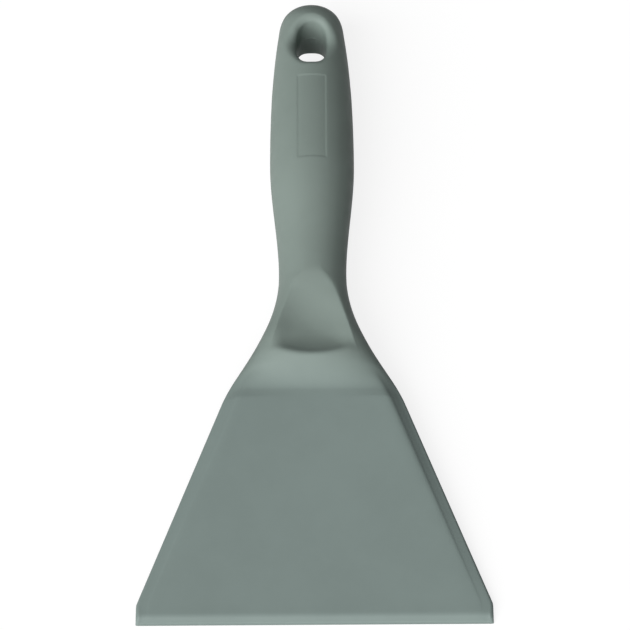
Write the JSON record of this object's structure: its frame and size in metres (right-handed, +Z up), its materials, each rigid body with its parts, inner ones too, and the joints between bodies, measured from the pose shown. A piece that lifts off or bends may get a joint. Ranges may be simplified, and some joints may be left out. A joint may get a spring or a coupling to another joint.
{
  "type": "pan scraper",
  "caption": "One-piece moulded plastic hand scraper with a wide wedge-shaped blade, a thumb rest and a barrel-shaped handle with a flared oval hanging hole.",
  "frame": {"origin": "middle of the bounding box's base, on the surface that the scraper lies on", "axes": "+Z up with the scraper lying on its back, +Y from the scraping edge to the end of the handle, X across the blade"},
  "size_m": [0.1024, 0.2056, 0.0246],
  "materials": {
    "plastic": "satin moulded polypropylene, grey-green"
  },
  "bodies": {
    "root": {"scraper": "plastic"}
  },
  "joints": []
}
